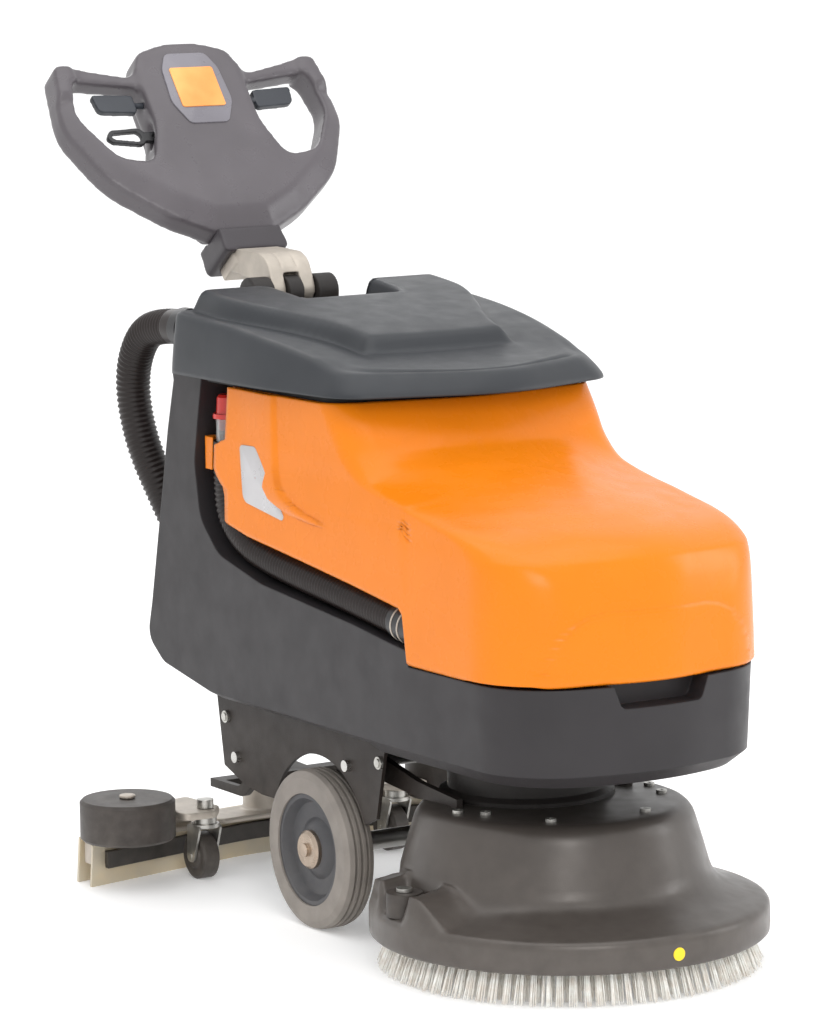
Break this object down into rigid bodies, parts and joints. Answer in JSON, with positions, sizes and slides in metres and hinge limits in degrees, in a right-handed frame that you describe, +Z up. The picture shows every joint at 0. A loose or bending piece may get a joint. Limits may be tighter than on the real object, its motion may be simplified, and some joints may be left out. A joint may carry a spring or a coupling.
{
  "type": "wet dry floor scrubber",
  "caption": "Walk-behind floor scrubber: brush deck, solution base with batteries, tipping recovery tank, hinged lid, folding handle, suction squeegee on castors.",
  "frame": {"origin": "on the floor, under the middle of the machine's bounding box", "axes": "+Z up, -Y forward (brush end), +X to the right as seen from the front, which is what left and right mean in the names"},
  "size_m": [0.51, 0.999, 0.8853],
  "materials": {
    "base_shell": "moulded, fine grain",
    "orange_shell": "satin gloss",
    "lid_shell": "moulded, fine grain",
    "grey_shell": "satin",
    "grey_shell_dark": "satin",
    "inlay": "satin, lighter panel",
    "paddle": "satin",
    "black_plastic": "satin",
    "cast_light": "painted casting, satin",
    "cast_dark": "painted casting, satin",
    "frame_steel": "powder coated",
    "deck_cover": "satin metallic",
    "steel": "bright",
    "zinc": "zinc plated",
    "hub_cap": "bronze tinted",
    "tyre": "moulded rubber",
    "rim": "satin",
    "hose": "ribbed",
    "bumper": "satin",
    "blade": "translucent amber",
    "bristle": "nylon filament tufts",
    "seal": "foam seal",
    "belt": "toothed belt",
    "badge": "satin plate",
    "badge_orange": "plain square",
    "cap_red": "gloss",
    "panel": "gloss",
    "button": "gloss"
  },
  "bodies": {
    "chassis": {"chassis_frame": "frame_steel", "cross_rods": "steel", "frame_bolts": "zinc", "base_tank": "base_shell", "batteries": "black_plastic", "vacuum_motor": "steel", "hinge_posts": "steel", "hose_elbow": "black_plastic", "handle_bracket": "cast_dark", "vacuum_hose": "hose"},
    "tank": {"recovery_tank": "orange_shell", "side_badge": "badge", "drain_fittings": "black_plastic", "drain_hose": "hose"},
    "drain_cap": {"drain_cap": "cap_red"},
    "lid": {"lid": "lid_shell", "lid_seal": "seal", "hinge_pins": "steel"},
    "handle": {"handle_front_shell": "grey_shell", "handle_back_shell": "grey_shell_dark", "neck_shell": "grey_shell_dark", "handle_arm": "cast_light", "pivot_pin": "steel", "panel_inlay": "inlay", "front_badge": "badge_orange", "control_panel": "panel"},
    "power_button": {"power_button": "button"},
    "right_paddle": {"right_paddle": "paddle"},
    "left_paddle": {"left_paddle": "paddle"},
    "release_lever": {"release_lever": "black_plastic"},
    "deck": {"deck_housing": "deck_cover", "deck_arms": "frame_steel", "deck_screws": "zinc", "brush_motor": "cast_dark", "drive_belt": "belt"},
    "deck_roller": {"deck_roller": "bumper"},
    "motor_pulley": {"motor_pulley": "steel"},
    "brush": {"brush_block": "black_plastic", "bristles": "bristle", "drive_hub": "steel"},
    "squeegee_arm": {"squeegee_arm": "frame_steel"},
    "squeegee": {"squeegee_bar": "cast_light", "clamp_strip": "cast_dark", "front_blade": "blade", "rear_blade": "blade", "suction_nozzle": "cast_dark", "roller_bracket_left": "cast_light", "roller_bracket_right": "cast_light"},
    "wheel_left": {"tyre_left": "tyre", "rim_left": "rim", "hub_cap_left": "hub_cap"},
    "bumper_roller_left": {"bumper_roller_left": "bumper"},
    "castor_fork_left": {"castor_fork_left": "zinc"},
    "castor_wheel_left": {"castor_wheel_left": "bumper"},
    "wheel_right": {"tyre_right": "tyre", "rim_right": "rim", "hub_cap_right": "hub_cap"},
    "bumper_roller_right": {"bumper_roller_right": "bumper"},
    "castor_fork_right": {"castor_fork_right": "zinc"},
    "castor_wheel_right": {"castor_wheel_right": "bumper"}
  },
  "joints": [
    {"name": "handle_fold", "type": "hinge", "parent": "chassis", "child": "handle", "pos_m": [0, 0.2275, 0.625], "axis": [-1, 0, 0], "range_deg": [-117, 12]},
    {"name": "tank_lift", "type": "hinge", "parent": "chassis", "child": "tank", "pos_m": [0, 0.1805, 0.612], "axis": [-1, 0, 0], "range_deg": [0, 25]},
    {"name": "lid_lift", "type": "hinge", "parent": "tank", "child": "lid", "pos_m": [0, 0.1805, 0.612], "axis": [-1, 0, 0], "range_deg": [0, 70]},
    {"name": "drain_cap_turn", "type": "hinge", "parent": "tank", "child": "drain_cap", "pos_m": [-0.134, 0.1265, 0.52], "axis": [0, 0, 1], "continuous": true},
    {"name": "deck_lift", "type": "hinge", "parent": "chassis", "child": "deck", "pos_m": [0, -0.0965, 0.178], "axis": [-1, 0, 0], "range_deg": [0, 5]},
    {"name": "brush_spin", "type": "hinge", "parent": "deck", "child": "brush", "pos_m": [0, -0.3015, 0.05], "axis": [0, 0, 1], "continuous": true},
    {"name": "motor_pulley_spin", "type": "hinge", "parent": "deck", "child": "motor_pulley", "pos_m": [0, -0.2275, 0.126], "axis": [0, 0, 1], "continuous": true},
    {"name": "deck_roller_spin", "type": "hinge", "parent": "deck", "child": "deck_roller", "pos_m": [-0.178, -0.2795, 0.08], "axis": [0, 0, 1], "continuous": true},
    {"name": "squeegee_lift", "type": "hinge", "parent": "chassis", "child": "squeegee_arm", "pos_m": [0, 0.1285, 0.15], "axis": [1, 0, 0], "range_deg": [0, 10], "deforming": ["vacuum_hose"]},
    {"name": "squeegee_swivel", "type": "hinge", "parent": "squeegee_arm", "child": "squeegee", "pos_m": [0, 0.2945, 0.1], "axis": [0, 0, 1], "range_deg": [-20, 20]},
    {"name": "paddle_right_press", "type": "hinge", "parent": "handle", "child": "right_paddle", "pos_m": [0.091, 0.4282, 0.8188], "axis": [1, 0, 0], "range_deg": [0, 10], "stiffness_Nm_per_rad": 0.4},
    {"name": "paddle_left_press", "type": "hinge", "parent": "handle", "child": "left_paddle", "pos_m": [-0.091, 0.4282, 0.8188], "axis": [1, 0, 0], "range_deg": [0, 10], "stiffness_Nm_per_rad": 0.4},
    {"name": "release_lever_pull", "type": "hinge", "parent": "handle", "child": "release_lever", "pos_m": [-0.066, 0.4023, 0.7857], "axis": [0, 0.788, -0.6157], "range_deg": [0, 10], "stiffness_Nm_per_rad": 0.5},
    {"name": "power_button_press", "type": "slide", "parent": "handle", "child": "power_button", "axis": [0, -0.788, 0.6157], "range_m": [0, 0.003], "stiffness_N_per_m": 400},
    {"name": "wheel_left_spin", "type": "hinge", "parent": "chassis", "child": "wheel_left", "pos_m": [-0.129, -0.0385, 0.0825], "axis": [1, 0, 0], "continuous": true},
    {"name": "bumper_roller_left_spin", "type": "hinge", "parent": "squeegee", "child": "bumper_roller_left", "pos_m": [-0.204, 0.2385, 0.074], "axis": [0, 0, 1], "continuous": true},
    {"name": "castor_left_swivel", "type": "hinge", "parent": "squeegee", "child": "castor_fork_left", "pos_m": [-0.12, 0.2195, 0.06], "axis": [0, 0, 1], "continuous": true},
    {"name": "castor_left_roll", "type": "hinge", "parent": "castor_fork_left", "child": "castor_wheel_left", "pos_m": [-0.12, 0.2295, 0.025], "axis": [1, 0, 0], "continuous": true},
    {"name": "wheel_right_spin", "type": "hinge", "parent": "chassis", "child": "wheel_right", "pos_m": [0.129, -0.0385, 0.0825], "axis": [1, 0, 0], "continuous": true},
    {"name": "bumper_roller_right_spin", "type": "hinge", "parent": "squeegee", "child": "bumper_roller_right", "pos_m": [0.204, 0.2385, 0.074], "axis": [0, 0, 1], "continuous": true},
    {"name": "castor_right_swivel", "type": "hinge", "parent": "squeegee", "child": "castor_fork_right", "pos_m": [0.12, 0.2195, 0.06], "axis": [0, 0, 1], "continuous": true},
    {"name": "castor_right_roll", "type": "hinge", "parent": "castor_fork_right", "child": "castor_wheel_right", "pos_m": [0.12, 0.2295, 0.025], "axis": [1, 0, 0], "continuous": true}
  ],
  "couplings": [
    {"joint": "motor_pulley_spin", "follows": "brush_spin", "ratio": 2.75},
    {"joint": "paddle_left_press", "follows": "paddle_right_press", "ratio": 1}
  ]
}
